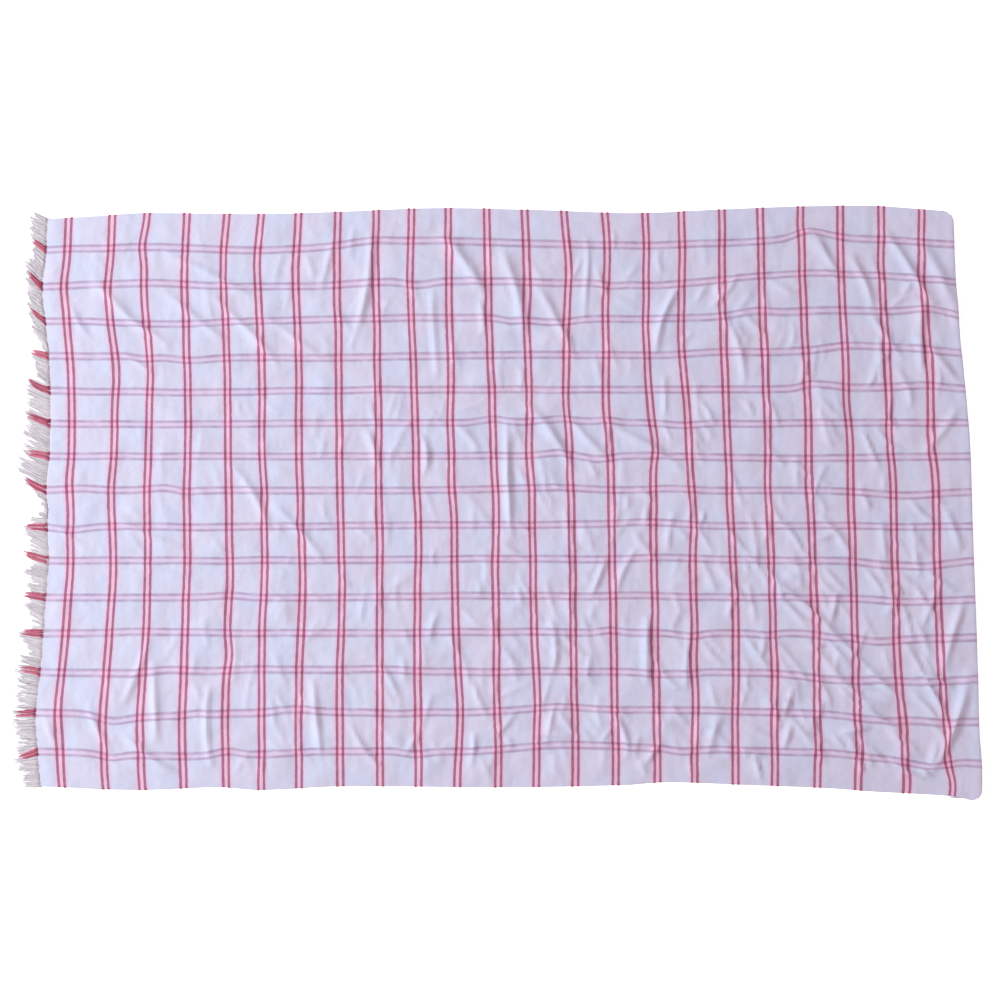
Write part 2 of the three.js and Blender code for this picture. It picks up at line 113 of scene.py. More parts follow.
# Ridges of the cloth: x and y of both ends, width, height, and how far the crest bows to the side.
FOLDS = [
    (260, 545, 475, 440, 35, 3.5, -7), (100, 485, 275, 340, 35, 5, 7), (250, 465, 400, 345, 35, 4, -4),
    (365, 455, 515, 290, 35, 4.5, -7), (475, 410, 625, 300, 30, 3, 0), (45, 440, 100, 350, 25, 2.5, 4),
    (155, 330, 240, 275, 25, 2.5, 0), (10, -40, 95, -110, 25, 2.5, 4), (135, -30, 320, -115, 35, 3.5, 7),
    (185, -130, 340, -195, 35, 2.5, 0), (405, 75, 485, -75, 35, 4.5, -9), (490, -10, 605, -145, 35, 4, -9),
    (220, -310, 165, -445, 30, 3, -7), (235, -360, 240, -535, 35, 5.5, 0), (-10, -440, 25, -550, 25, 3, 7),
    (90, -440, 145, -555, 30, 3.5, 7), (165, -505, 295, -605, 35, 5.5, 9),
    (360, -405, 365, -590, 30, 5, 11), (410, -310, 410, -420, 20, 2, 0), (715, 590, 675, 355, 40, 7, -11),
    (860, 585, 970, 430, 50, 7.5, -11), (950, 440, 960, 360, 30, 4, -4), (850, 470, 860, 265, 25, 3, 2),
    (635, 580, 605, 455, 25, 2.5, 0), (575, 545, 595, 490, 20, 2, 0), (700, 155, 730, 65, 35, 4.5, -4),
    (825, 140, 830, 50, 35, 5, -9), (900, 165, 950, 100, 30, 3.5, -7), (585, -395, 605, -575, 35, 6.5, 2),
    (665, -485, 735, -590, 30, 4, 9), (720, -365, 775, -440, 30, 4, -7), (860, -250, 840, -325, 30, 3, 4),
    (785, -560, 820, -515, 25, 2.5, 0), (935, -510, 930, -590, 30, 3.5, -4),
    (485, -530, 535, -570, 25, 2.5, 0), (995, 555, 1050, 355, 45, 7.5, -9),
    (1065, 475, 1165, 300, 35, 5.5, -9), (1180, 585, 1180, 395, 20, 3, 0), (1135, 595, 1140, 510, 20, 2, 0),
    (1200, 510, 1240, 430, 25, 2.5, 0), (1395, 475, 1345, 315, 35, 5.5, 11),
    (1520, 485, 1465, 420, 30, 4, -4), (1480, 410, 1535, 250, 35, 5, -15),
    (1015, 170, 1020, -100, 35, 7, 4), (1050, 215, 1160, 55, 40, 6, -9), (1155, 170, 1245, 90, 35, 4.5, 4),
    (1230, 165, 1400, 65, 35, 4.5, -4), (1345, 185, 1375, 125, 20, 2, 0),
    (1420, 170, 1450, 110, 20, 2.5, 0), (1230, -130, 1195, -220, 30, 4, 0),
    (1300, -110, 1250, -215, 30, 3.5, 7), (1320, -255, 1320, -410, 35, 6.5, 0),
    (1105, -260, 1105, -395, 30, 4, -13), (1175, -255, 1195, -300, 25, 2.5, 0),
    (1200, -330, 1185, -405, 25, 2.5, 0), (1410, -245, 1400, -425, 25, 2.5, 0),
    (1115, -465, 1100, -555, 30, 3.5, 4), (1245, -475, 1280, -575, 35, 5.5, -7),
    (1355, -530, 1310, -590, 25, 3, 0), (1480, -475, 1465, -560, 35, 4.5, 7),
    (1430, -475, 1430, -555, 20, 2.5, 0), (1665, 580, 1745, 470, 35, 4.5, -7),
    (1765, 535, 1820, 395, 35, 5, -7), (1815, 395, 1885, 290, 30, 4.5, 4),
    (1835, 595, 1950, 405, 40, 7.5, -9), (1925, 565, 2015, 360, 50, 8, -7),
    (1925, 425, 1925, 260, 35, 6, 4), (1940, 330, 2010, 250, 35, 5, 4), (1580, 225, 1610, 160, 25, 3.5, -4),
    (1670, 305, 1660, 250, 25, 3, 0), (1690, 225, 1750, 175, 25, 2.5, 0), (2005, 205, 1935, 100, 35, 4, -4),
    (1590, -5, 1635, -80, 25, 2.5, 0), (1700, -35, 1770, -125, 30, 3.5, -4),
    (1545, -130, 1890, -440, 30, 4.5, -4), (1470, -145, 1540, -235, 25, 3, 0),
    (1525, -295, 1590, -380, 25, 3, 0), (1660, -305, 1840, -485, 30, 4.5, -7),
    (1850, -175, 1870, -255, 25, 2.5, 0), (1960, -190, 1925, -275, 30, 3, 0),
    (2020, -210, 1970, -365, 35, 5, 4), (1915, -355, 1965, -475, 35, 6, -4),
    (2035, -355, 1910, -600, 50, 8, -18), (1720, -515, 1760, -560, 20, 2.5, 0),
    (1840, -485, 1895, -560, 30, 3, 0), (1490, -55, 1540, -125, 20, 3, 0),
    (1605, -30, 1670, -130, 20, 3.5, -4), (1640, -200, 1705, -270, 20, 3, 0),
    (1695, -255, 1780, -340, 20, 3.5, 4), (1595, -300, 1655, -380, 20, 2.5, 0),
    (1770, -330, 1870, -425, 30, 4.5, -4), (1780, -435, 1870, -500, 30, 4.5, 0),
    (1885, -300, 1960, -450, 25, 4, -4), (1895, -405, 1955, -480, 25, 3.5, 0),
    (1750, -510, 1805, -580, 20, 3, 0), (1795, -525, 1845, -585, 20, 3, 0),
    (1435, -310, 1485, -370, 20, 3, 0), (1470, -475, 1455, -565, 30, 4, 4),
    (1635, -490, 1620, -550, 25, 3, 0), (1945, -515, 1925, -575, 30, 4, 0),
    (1700, -145, 1760, -205, 20, 3, 0), (1800, -145, 1840, -205, 20, 3, 0),
    (1535, -110, 1595, -200, 20, 3, 0), (1835, -45, 1845, -135, 30, 3, 0),
    (1900, -45, 1920, -135, 25, 3, 0), (1975, -15, 2010, -110, 30, 3, 0),
    (1735, -390, 1780, -450, 20, 2.5, 0), (1435, -135, 1470, -200, 20, 2.5, 0),
]
FOLD_RISE = 1.3  # their height at the fringed end, against the CAD's, which has only their broad form
HIGHEST_FOLD = 8.0
FINE_CREASES = 520
CREASE_LENGTHS = (35, 110)
CREASE_WIDTHS = (16, 30)
CREASE_HEIGHTS = (0.7, 2.4)
CREASE_BOW = 7
CREASE_MARGIN = 60
CREST_FADE = 0.6  # the lower, the longer a ridge keeps its height towards its ends
CREST_SHARPNESS = 1.2
DRAW = 0.35  # how far a fold draws the cloth beside it in, against the fold's height
DRAW_SHARE = 0.05  # of a ridge's width, the most that it draws in

# Places where the cloth is drawn aside in its plane: x, y, reach along x and y, drift along x and y.
DRIFTS = [
    (470, 540, 220, 90, -4, 0), (340, 490, 260, 110, 0, -7), (1745, 427, 200, 110, 0, 16),
    (1910, -420, 150, 160, 0, -18), (1195, -541, 160, 90, 0, 8), (490, -380, 150, 60, 0, 8),
    (160, -475, 70, 60, 0, -10), (843, 548, 100, 70, 0, 4), (997, -222, 250, 200, 0, 4),
    (440, 450, 90, 120, -7, 0), (218, 560, 35, 40, -9, 0), (600, 450, 80, 90, -4, 0),
    (1180, 535, 110, 90, 9, 0), (1400, 350, 90, 110, -8, 0), (1200, 190, 90, 60, -7, 0),
    (893, 170, 40, 90, -6, 0), (1064, 100, 40, 60, -6, 0), (1330, 120, 35, 50, 7, 0),
    (1411, -60, 50, 90, 7, 0), (560, -160, 130, 110, 8, 0), (460, 0, 150, 70, 4, 0),
    (180, 290, 60, 60, 6, 0), (1500, -280, 70, 150, 7, 0), (1660, -400, 90, 80, 5, 0),
    (893, -460, 45, 110, 9, 0), (1064, -450, 40, 80, 6, 0), (1640, 50, 80, 90, -7, 0),
    (1900, 140, 70, 70, -9, 0), (1920, -500, 90, 100, 15, 0), (396, -345, 35, 40, 5, 0),
    (44, -20, 40, 60, 6, 0), (1411, -450, 60, 70, 5, 0), (1900, 490, 130, 110, -4, 0),
    (450, 540, 80, 60, -4, 0), (810, 450, 40, 120, -5, 0), (1100, 470, 60, 90, 5, 0),
    (1200, 250, 110, 60, -4, 0), (1500, 170, 50, 120, -5, 0), (1765, 220, 60, 60, -5, 0),
    (810, -90, 40, 120, 5, 0), (400, -150, 60, 130, 4, 0), (200, -260, 60, 90, 4, 0),
    (600, -280, 70, 70, 4, 0), (1700, -260, 60, 70, 4, 0), (1730, -520, 80, 60, 5, 0),
    (44, -510, 30, 60, 5, 0), (893, 30, 35, 60, -5, 0), (981, -30, 35, 60, 5, 0),
    (1411, -270, 35, 70, 4, 0), (60, -230, 50, 110, 3, 0), (1150, 60, 40, 40, -3, 0),
    (1960, -640, 60, 65, 20, 0), (1870, -630, 50, 60, 10, 0),
    (500, 562, 130, 45, 0, -6), (720, 562, 60, 45, 0, 7), (1690, 565, 60, 45, 0, 14),
    (230, 477, 120, 40, 0, 7), (600, 477, 80, 35, 0, -4), (820, 477, 40, 35, 0, -9),
    (1350, 477, 70, 35, 0, -5), (1600, 470, 120, 40, 0, 6), (250, 397, 150, 35, 0, -8),
    (1110, 397, 60, 35, 0, -9), (1560, 397, 50, 35, 0, 9), (1940, 390, 60, 50, 0, 14),
    (320, 317, 60, 35, 0, -8), (600, 317, 330, 40, 0, -6), (1850, 310, 130, 50, 0, 12),
    (1500, 317, 80, 40, 0, 6), (300, 241, 280, 35, 0, -6), (1720, 241, 40, 35, 0, 8),
    (1930, 241, 60, 40, 0, 7), (250, 167, 260, 35, 0, -3), (980, 167, 35, 35, 0, 8),
    (1130, 167, 60, 35, 0, 9), (1400, 167, 50, 35, 0, -5), (1120, 94, 40, 30, 0, 6),
    (1215, 94, 35, 30, 0, -7), (1650, 94, 200, 35, 0, -5), (70, 19, 50, 35, 0, 5),
    (270, 19, 50, 30, 0, 7), (1100, 19, 150, 40, 0, 5), (1900, 10, 110, 50, 0, -11),
    (50, -59, 50, 35, 0, -8), (1300, -59, 100, 40, 0, 7), (350, -59, 250, 40, 0, -3),
    (1370, -135, 120, 40, 0, 5), (1920, -135, 80, 50, 0, -12), (400, -217, 45, 35, 0, 5),
    (220, -296, 110, 35, 0, 5), (1411, -296, 35, 30, 0, -7), (1815, -296, 60, 35, 0, -10),
    (1238, -296, 30, 30, 0, 6), (260, -382, 60, 30, 0, 6), (720, -382, 90, 35, 0, 6),
    (1350, -382, 45, 30, 0, -7), (1720, -382, 80, 35, 0, -10), (300, -471, 90, 30, 0, -7),
    (540, -471, 60, 35, 0, 8), (770, -471, 50, 30, 0, -4), (1110, -471, 90, 40, 0, 8),
    (320, -558, 100, 40, 0, -9), (810, -558, 35, 35, 0, -7), (1110, -558, 120, 45, 0, 9),
    (1400, -558, 40, 35, 0, -5), (1930, -558, 60, 50, 0, -13), (1670, 562, 35, 40, 0, 8),
    (1238, 477, 35, 35, 0, -6), (1020, 397, 30, 30, 0, -7), (1750, 317, 60, 30, 0, 6),
    (210, 317, 35, 30, 0, -7), (1680, 241, 30, 30, 0, 8), (1238, 167, 30, 30, 0, 6),
    (1560, 167, 80, 35, 0, -3), (300, 19, 30, 30, 0, -6), (1380, 19, 60, 30, 0, 4),
    (1830, -140, 45, 30, 0, -6), (1300, -217, 100, 30, 0, 3), (1900, -217, 110, 35, 0, -4),
    (1585, -296, 30, 30, 0, -5), (1720, -296, 30, 30, 0, -6), (1411, -382, 30, 30, 0, -5),
    (1720, -382, 120, 30, 0, -3), (141, -471, 30, 30, 0, -7), (330, -471, 30, 30, 0, 5),
    (1900, -471, 40, 30, 0, 5), (141, -558, 30, 35, 0, -7), (396, -558, 30, 35, 0, 6),
    (1400, -558, 60, 35, 0, -3),
]
DRIFT_EVERYWHERE = 0.5  # spread of the uneven drift over the whole cloth
ROOT_HOLD = 50  # the drifts fade out over these widths towards the fringe, the bend and the sides
BEND_HOLD = 60
SIDE_HOLD = 70

# The fringe along the edge: place, how far it reaches out, how it leans in degrees.
FRINGE = [
    (-636, 33, -10), (-596, 42, 2), (-563, 46, -10), (-530, 42, 3), (-477, 47, -3), (-442, 43, 8),
    (-381, 50, 12), (-359, 42, 15), (-343, 31, 20), (-321, 44, 17), (-293, 48, 5), (-284, 14, 20),
    (-272, 36, 26), (-222, 35, 20), (-196, 40, 15), (-172, 46, 18), (-152, 36, 15), (-125, 41, 22),
    (-97, 44, 28), (-62, 46, 5), (-42, 31, 8), (-29, 10, 20), (-15, 12, 30), (-2, 27, 33),
    (20, 48, 28), (53, 59, 24), (97, 53, 25), (136, 50, 30), (185, 48, 25), (218, 48, 24),
    (244, 46, 20), (257, 32, 33), (279, 31, 36), (315, 36, 15), (328, 13, 38), (339, 24, 42),
    (361, 33, 42), (398, 33, 39), (460, 33, 42), (499, 32, 45), (521, 22, 45), (548, 26, 40),
    (579, 33, 35), (636, 33, 28),
]
# The crimson lock where each faint pair ends: how far it reaches out, and how it leans and curls
# in degrees.
CRIMSON_LOCKS = [
    (42, -20, 0), (49, -4, 0), (46, 11, -36), (50, 4, 0), (48, 10, 0), (57, 17, 0), (50, 2, 0), (50, 26, 26),
    (50, 10, -10), (53, 22, 0), (50, 22, 36), (40, 14, 0), (33, 40, 0), (31, 46, 10), (27, 38, 0),
]
LOCKS = 126
YARNS_IN_LOCK = 8
STATIONS = 12  # cross-sections along a yarn
SIDES = 6
ROOT_DEPTH = 3.0  # how far a yarn's root runs into the cloth
ROOT_SUNK = 1.2  # how far its middle lies there under the cloth's top, against its radius
YARN_RADII = (1.35, 1.75)
CRIMSON_RADII = (1.05, 1.35)
CRIMSON_APART = 2.1  # from yarn to yarn of a crimson bunch
CRIMSON_STATIONS = 22
CRIMSON_SIDES = 10
TWIST = 0.55  # radians per millimetre
LOBES = 0.24  # how far the two plies stand out of a round section, against its radius
LEAD = 0.07  # where the section before the first one lies, against the first step
LOOP_HALF_WIDTH = 1.7
LOOP_INSET = 2.4
LOOP_RADIUS = 0.8
LOOP_STATIONS = 9

# Colours as the picture shows them on flat ground, 0 to 255. Yarns have a pale and a dark one.
CLOTH_COOL = (213, 209, 234)
CLOTH_WARM = (217, 207, 230)
CREAM_TONES = ((228, 215, 224), (178, 164, 171))
CRIMSON_TONES = ((219, 128, 151), (153, 52, 80))
# What the cloth's own colour is multiplied by, as red, green, blue and alpha
MOTTLE_TINT = (0.93, 0.93, 0.94, 1)
WARP_BETWEEN_TINT = (1.06, 0.90, 0.955, 1)
WARP_TINT = (0.67, 0.53, 0.61, 1)
HALO_TINT = (1.25, 0.775, 0.825, 1)
WEFT_BETWEEN_TINT = (1.06, 0.98, 0.965, 1)
WEFT_TINT = (0.34, 0.155, 0.265, 1)
HALO_WIDTH = 10.0  # how far the pink beside a crimson pair reaches
OVER_UNDER = 0.4  # how much the stripes come and go with the weave's crossings
# Relief of the cloth's shading, in millimetres
WEAVE_RELIEF = 0.13
FUZZ_RELIEF = 0.3
STRIPE_RELIEF = 0.25
STREAK_RELIEF = 3.2
CRUMPLE_RELIEF = 4.4

# Floor, light and camera
FLOOR_HALF = 20.0
FLOOR_DROP = 0.0004
LIGHT = 1.12  # how much brighter than its own colour a flat white surface is lit
FRAME_WIDTH = 2.189  # metres of floor that the picture spans
PICTURE_CENTRE = (0.990, 0.0033)  # its centre, in metres from where the millimetres start
LENS = 85.0
SENSOR = 36.0

rng = np.random.default_rng(20)


def smoothstep(x, low, high):
    """0 below low, 1 above high, and 3u^2 - 2u^3 between them."""
    u = np.clip((x - low) / (high - low), 0, 1)
    return u * u * (3 - 2 * u)


def curve(rows, at, column=1):
    """A smooth curve through the rows: cubics whose slope at a row is that of the line between its
    neighbours."""
    table = np.array(rows, float)
    xs, ys = table[:, 0], table[:, column]
    slope = np.empty_like(ys)
    slope[1:-1] = (ys[2:] - ys[:-2]) / (xs[2:] - xs[:-2])
    slope[0] = (ys[1] - ys[0]) / (xs[1] - xs[0])
    slope[-1] = (ys[-1] - ys[-2]) / (xs[-1] - xs[-2])
    at = np.clip(at, xs[0], xs[-1])
    i = np.clip(np.searchsorted(xs, at) - 1, 0, len(xs) - 2)
    span = xs[i + 1] - xs[i]
    u = (at - xs[i]) / span
    v = 1 - u
    ends = ys[i] * v * v * (1 + 2 * u) + ys[i + 1] * u * u * (3 - 2 * u)
    return ends + span * u * v * (slope[i] * v - slope[i + 1] * u)


def stripe_count(places, spacing, at):
    """The stripes passed at a place, as a smooth number: whole on each stripe, rising there by one
    per spacing, and held half way to the next stripe beyond the first and the last one."""
    places = np.array(places, float)
    i = np.clip(np.searchsorted(places, at) - 1, 0, len(places) - 2)
    span = places[i + 1] - places[i]
    u = np.clip((at - places[i]) / span, 0, 1)
    inside = i + u * u * (3 - 2 * u) + span / spacing * u * (1 - u) * (1 - 2 * u)
    beyond = np.minimum(at - places[0], 0) + np.maximum(at - places[-1], 0)
    return np.clip(inside + beyond / spacing, -0.5, len(places) - 0.5)


def ripple(x, y, seed, shortest, longest):
    """A sum of sine waves of random directions and of wavelengths between two, with a spread of
    about 1."""
    dice = np.random.default_rng(seed)
    total = np.zeros_like(x)
    for _ in range(RIPPLE_WAVES):
        turn = dice.uniform(0, math.pi)
        rate = 2 * math.pi / dice.uniform(shortest, longest)
        phase = dice.uniform(0, 2 * math.pi)
        total += np.sin(rate * (x * math.cos(turn) + y * math.sin(turn)) + phase)
    return total * math.sqrt(2 / RIPPLE_WAVES)


def fine_creases():
    """Short low ridges over the whole cloth, most of them nearly across its length, and towards the
    lower right corner more of them, higher and slanting."""
    rows = []
    for _ in range(FINE_CREASES):
        x = CREASE_MARGIN + (LENGTH - 2 * CREASE_MARGIN) * rng.uniform(0, 1) ** 0.72
        y = (HALF - 40) * (1 - 2 * rng.uniform(0, 1) ** (1 - 0.4 * x / LENGTH))
        rise = 0.6 + x / LENGTH * (1.4 + 1.5 * (0.5 - y / WIDTH))
        slant = 100 + 30 * x / LENGTH * (0.5 - y / WIDTH)
        length = rng.uniform(*CREASE_LENGTHS)
        turn = math.radians(slant + rng.normal(0, 30))
        dx, dy = length / 2 * math.cos(turn), length / 2 * math.sin(turn)
        width = rng.uniform(*CREASE_WIDTHS)
        top = rise * rng.uniform(*CREASE_HEIGHTS)
        bow = rng.uniform(-CREASE_BOW, CREASE_BOW)
        rows.append((x - dx, y - dy, x + dx, y + dy, width, top, bow))
    return rows


def raised_folds():
    """The folds of the table, higher towards the lower right corner, and none over HIGHEST_FOLD."""
    rows = []
    for x1, y1, x2, y2, width, top, bow in FOLDS:
        rise = FOLD_RISE * (1 + x1 / LENGTH * (0.35 + 0.6 * (0.5 - y1 / WIDTH)))
        height = HIGHEST_FOLD * math.tanh(top * rise / HIGHEST_FOLD)
        rows.append((x1, y1, x2, y2, width, height, bow))
    return rows


CREASES = raised_folds() + fine_creases()


def folded(x, y):
    """The highest ridge at x, y, a cosine across its width that fades to both ends, and the way the
    ridges draw the cloth towards their crests, a sine across their width."""
    height = np.zeros_like(x)
    drawn_x = np.zeros_like(x)
    drawn_y = np.zeros_like(x)
    for x1, y1, x2, y2, width, top, bow in CREASES:
        length = math.hypot(x2 - x1, y2 - y1)
        dx, dy = (x2 - x1) / length, (y2 - y1) / length
        share = np.clip(((x - x1) * dx + (y - y1) * dy) / length, 0, 1)
        off = (x - x1) * dy - (y - y1) * dx - bow * 4 * share * (1 - share)
        side = np.clip(off / (width / 2), -1, 1)
        crest = top * np.sin(math.pi * share) ** CREST_FADE
        section = (0.5 * (1 + np.cos(math.pi * side))) ** CREST_SHARPNESS
        height = np.maximum(height, crest * section)
        draw = -np.minimum(DRAW * crest, DRAW_SHARE * width) * np.sin(math.pi * side)
        drawn_x += draw * dy
        drawn_y -= draw * dx
    return height, drawn_x, drawn_y


def place(s, t):
    """Where the cloth's point at s along and t across lies: x, y and the height of its underside."""
    s, t = np.broadcast_arrays(np.asarray(s, float), np.asarray(t, float))
    a = np.clip((s - LENGTH + CORNER_RADIUS) / CORNER_RADIUS, 0, 1)
    b = np.clip((np.abs(t) - HALF + CORNER_RADIUS) / CORNER_RADIUS, 0, 1)
    along = s + CORNER_RADIUS * a * (np.sqrt(1 - b * b / 2) - 1)
    across = t + np.sign(t) * CORNER_RADIUS * b * (np.sqrt(1 - a * a / 2) - 1)
    edge = np.where(across > 0, curve(UPPER_EDGE, along), curve(LOWER_EDGE, along))
    x = along + curve(FRINGED_EDGE, across) * (1 - smoothstep(along, 0, FRINGED_REACH))
    x = x + curve(TURNED_EDGE, across) * curve(SLANT_SHARE, along)
    y = across + edge * np.abs(across / HALF) ** 3

    height, drawn_x, drawn_y = folded(x, y)
    for cx, cy, reach_x, reach_y, drift_x, drift_y in DRIFTS:
        near = np.exp(-(((x - cx) / reach_x) ** 2) - ((y - cy) / reach_y) ** 2)
        drawn_x += drift_x * near
        drawn_y += drift_y * near
    drawn_x += DRIFT_EVERYWHERE * ripple(x, y, 3, 90, 260)
    drawn_y += DRIFT_EVERYWHERE * ripple(x, y, 4, 90, 300)
    drawn_x *= smoothstep(s, 0, ROOT_HOLD) * (1 - smoothstep(s, LENGTH - BEND_HOLD, LENGTH))
    drawn_y *= smoothstep(HALF - np.abs(t), 0, SIDE_HOLD)

    weft = stripe_count(WEFT, WEFT_SPACING, s)
    warp = stripe_count(WARP, WARP_SPACING, t)
    puff = PUFF * (np.sin(math.pi * weft) * np.sin(math.pi * warp)) ** 2
    waves = np.maximum(0, WAVE_LEVEL + WAVE_SPREAD * ripple(x, y, 5, 60, 160))
    settled = smoothstep(np.minimum(s, HALF - np.abs(t)), 0, SETTLED_WIDTH)
    back = LENGTH - s
    lift = (LIFT_AT_BEND - LIFT_OVER_FLAP) * (1 - smoothstep(back, 0, BEND_FADE))
    lift = lift + LIFT_OVER_FLAP * (1 - smoothstep(back, TURNED_UNDER, TURNED_UNDER + FLAP_FADE))
    free = settled * (1 - PRESSED_SHARE * smoothstep(s, LENGTH - PRESSED_WIDTH, LENGTH))
    z = (height + waves + puff) * free + lift
    return x + drawn_x, y + drawn_y, z


ORIGIN = None  # what moves these millimetres onto the CAD frame, set near the end


def to_frame(points):
    """Millimetres of the laid cloth as metres of the CAD frame."""
    return points / 1000 + ORIGIN


def make_mesh(name, points, faces, material, uv=None, values=None):
    """A smooth mesh object in the CAD frame. uv and values hold named values for each point."""
    mesh = bpy.data.meshes.new(name)
    mesh.from_pydata(to_frame(points).tolist(), [], [tuple(f) for f in faces])
    corners = np.empty(len(mesh.loops), dtype=np.int32)
    mesh.loops.foreach_get("vertex_index", corners)
    for layer, at in (uv or {}).items():
        mesh.uv_layers.new(name=layer).data.foreach_set("uv", at[corners].astype(np.float32).ravel())
    for key, at in (values or {}).items():
        mesh.attributes.new(key, "FLOAT", "POINT").data.foreach_set("value", at.astype(np.float32))
    mesh.polygons.foreach_set("use_smooth", np.ones(len(mesh.polygons), dtype=bool))
    mesh.materials.append(material)
    mesh.update()
    thing = bpy.data.objects.new(name, mesh)
    bpy.context.scene.collection.objects.link(thing)
    return thing


def cloth_surfaces():
    """The cloth's upper and lower points as two grids, and each point's place on the flat cloth."""
    s = np.linspace(0, LENGTH, COLUMNS + 1)
    t = np.linspace(-HALF, HALF, ROWS + 1)
    s[1] = RIM_CELL
    t[1], t[-2] = RIM_CELL - HALF, HALF - RIM_CELL
    grid_s, grid_t = np.meshgrid(s, t, indexing="ij")
    x, y, z = place(grid_s, grid_t)
    edge = np.minimum(grid_s, HALF - np.abs(grid_t))
    thick = EDGE_THICKNESS + (THICKNESS - EDGE_THICKNESS) * smoothstep(edge, 0, EDGE_BEVEL)
    upper = [np.stack([x, y, z + thick], -1)]
    lower = [np.stack([x, y, z], -1)]
    flat = [np.stack([grid_s, grid_t], -1)]

    end_x, end_y, end_z = x[-1], y[-1], z[-1]
    radius = end_z / 2
    half = THICKNESS / 2
    for i in range(1, BEND_STEPS + 1):
        angle = math.pi * i / BEND_STEPS
        for surface, reach in ((upper, radius + half), (lower, radius - half)):
            bent = [end_x + reach * math.sin(angle), end_y, half + radius + reach * math.cos(angle)]
            surface.append(np.stack(bent, -1)[None])
        flat.append(np.stack([LENGTH + radius * angle, t], -1)[None])
    for i in range(1, FLAP_STEPS + 1):
        under = TURNED_UNDER * i / FLAP_STEPS
        for surface, level in ((upper, 0.0), (lower, THICKNESS)):
            surface.append(np.stack([end_x - under, end_y, np.full_like(end_x, level)], -1)[None])
        flat.append(np.stack([LENGTH + radius * math.pi + under, t], -1)[None])
    return np.concatenate(upper), np.concatenate(lower), np.concatenate(flat)


def make_cloth(material):
    """One closed sheet: the upper surface, the lower one with every other point, and a rim between
    their borders."""
    upper, lower, flat = cloth_surfaces()
    columns, rows = upper.shape[0] - 1, upper.shape[1] - 1
    top = np.arange((columns + 1) * (rows + 1)).reshape(columns + 1, rows + 1)
    coarse = lower[::2, ::2]
    bottom = top.size + np.arange(coarse.shape[0] * coarse.shape[1]).reshape(coarse.shape[:2])

    def quads(index):
        """The faces between the points of a grid."""
        return np.stack([index[:-1, :-1], index[1:, :-1], index[1:, 1:], index[:-1, 1:]], -1).reshape(-1, 4)

    faces = [*quads(top).tolist(), *quads(bottom)[:, ::-1].tolist()]
    border = [(i, 0) for i in range(columns)] + [(columns, j) for j in range(rows)]
    border += [(i, rows) for i in range(columns, 0, -1)] + [(0, j) for j in range(rows, 0, -1)]
    for k in range(0, len(border), 2):
        first, middle, last = border[k], border[k + 1], border[(k + 2) % len(border)]
        a, b, c = (int(top[at]) for at in (first, middle, last))
        d, e = (int(bottom[at[0] // 2, at[1] // 2]) for at in (first, last))
        faces += [(a, d, e), (a, e, b), (b, e, c)]

    points = np.concatenate([upper.reshape(-1, 3), coarse.reshape(-1, 3)])
    flat = np.concatenate([flat.reshape(-1, 2), flat[::2, ::2].reshape(-1, 2)])
    counts = np.stack(
        [stripe_count(WEFT, WEFT_SPACING, flat[:, 0]), stripe_count(WARP, WARP_SPACING, flat[:, 1])], -1
    )
    maps = {"stripes": counts, "flat": flat / 100}
    return make_mesh("blanket_cloth", points, faces, material, uv=maps)


def make_yarns(name, paths, radius, material, tones=None, sides=SIDES):
    """Two-ply yarns along paths (yarns, stations, 3): a two-lobed section that turns with the way
    gone, thinner towards the last station. radius and tones hold one value for each yarn. One more
    section just before the first keeps the root's cap out of the shading of what shows."""
    paths = np.concatenate([(1 + LEAD) * paths[:, :1] - LEAD * paths[:, 1:2], paths], 1)
    yarns, stations = paths.shape[:2]
    ahead = np.gradient(paths, axis=1)
    ahead /= np.linalg.norm(ahead, axis=-1, keepdims=True)
    side = np.cross(ahead, [0.0, 0.0, 1.0])
    side /= np.linalg.norm(side, axis=-1, keepdims=True)
    over = np.cross(side, ahead)
    steps = np.linalg.norm(np.diff(paths, axis=1), axis=-1)
    way = np.concatenate([np.zeros((yarns, 1)), np.cumsum(steps, 1)], 1)
    angle = np.arange(sides) * 2 * math.pi / sides
    lobes = 1 + LOBES * np.cos(2 * (angle[None, None, :] - TWIST * way[:, :, None]))
    taper = 1 - 0.5 * np.linspace(0, 1, stations) ** 3
    reach = np.asarray(radius).reshape(-1, 1, 1) * lobes * taper[None, :, None]
    points = (
        paths[:, :, None]
        + side[:, :, None] * (reach * np.cos(angle))[..., None]
        + over[:, :, None] * (reach * np.sin(angle))[..., None]
    )
    points[..., 2] = np.maximum(points[..., 2], 0)
    index = np.arange(yarns * stations * sides).reshape(yarns, stations, sides)
    turned = np.roll(index, -1, axis=2)
    walls = np.stack([index[:, :-1], turned[:, :-1], turned[:, 1:], index[:, 1:]], -1).reshape(-1, 4)
    caps = [*index[:, 0, ::-1].tolist(), *index[:, -1].tolist()]
    tone = np.repeat(np.zeros(yarns) if tones is None else tones, stations * sides)
    faces = [*walls.tolist(), *caps]
    return make_mesh(name, points.reshape(-1, 3), faces, material, values={"tone": tone})


